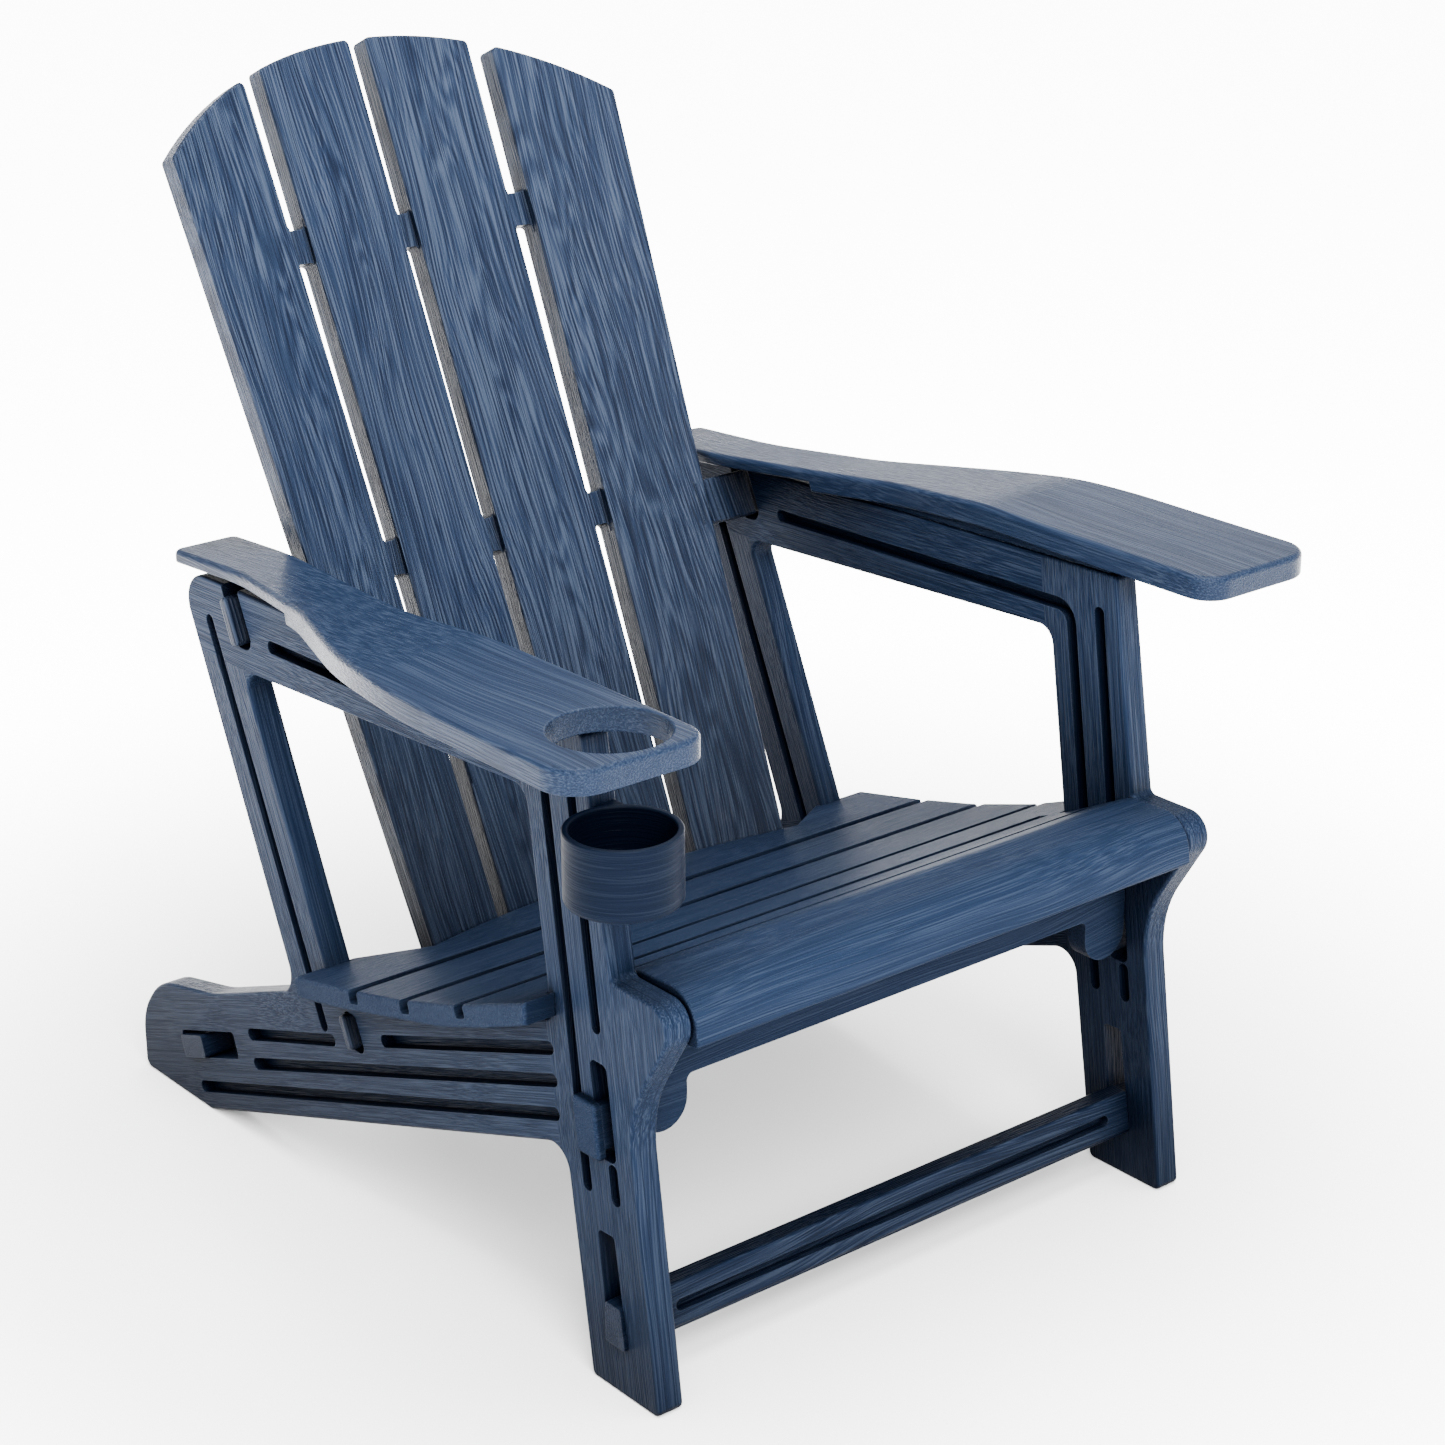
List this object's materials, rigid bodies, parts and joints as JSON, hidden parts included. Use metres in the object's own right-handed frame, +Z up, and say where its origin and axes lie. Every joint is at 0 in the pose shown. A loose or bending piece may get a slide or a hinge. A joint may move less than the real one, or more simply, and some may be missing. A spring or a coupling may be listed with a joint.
{
  "type": "adirondack chair",
  "caption": "Garden armchair of interlocking moulded panels, with a fanned slatted back, waisted armrests and a drink hole over a cup",
  "frame": {"origin": "on the ground, at the middle of the chair's overall length and width", "axes": "+X to the sitter's left, +Y to the rear, +Z up"},
  "size_m": [0.76, 0.823, 0.9114],
  "materials": {
    "frame_plastic": "wood-grained navy polymer",
    "seat_plastic": "fine-grained navy polymer with a soft sheen",
    "back_plastic": "navy polymer embossed with open wood grain",
    "arm_plastic": "fine-grained navy polymer with a soft sheen"
  },
  "bodies": {
    "root": {"side_frame_right": "frame_plastic", "side_frame_left": "frame_plastic", "seat_panel": "seat_plastic", "back_panel": "back_plastic", "armrest_right": "arm_plastic", "armrest_left": "arm_plastic", "cup_holder": "frame_plastic", "front_stretcher": "frame_plastic", "rear_stretcher": "frame_plastic"}
  },
  "joints": []
}
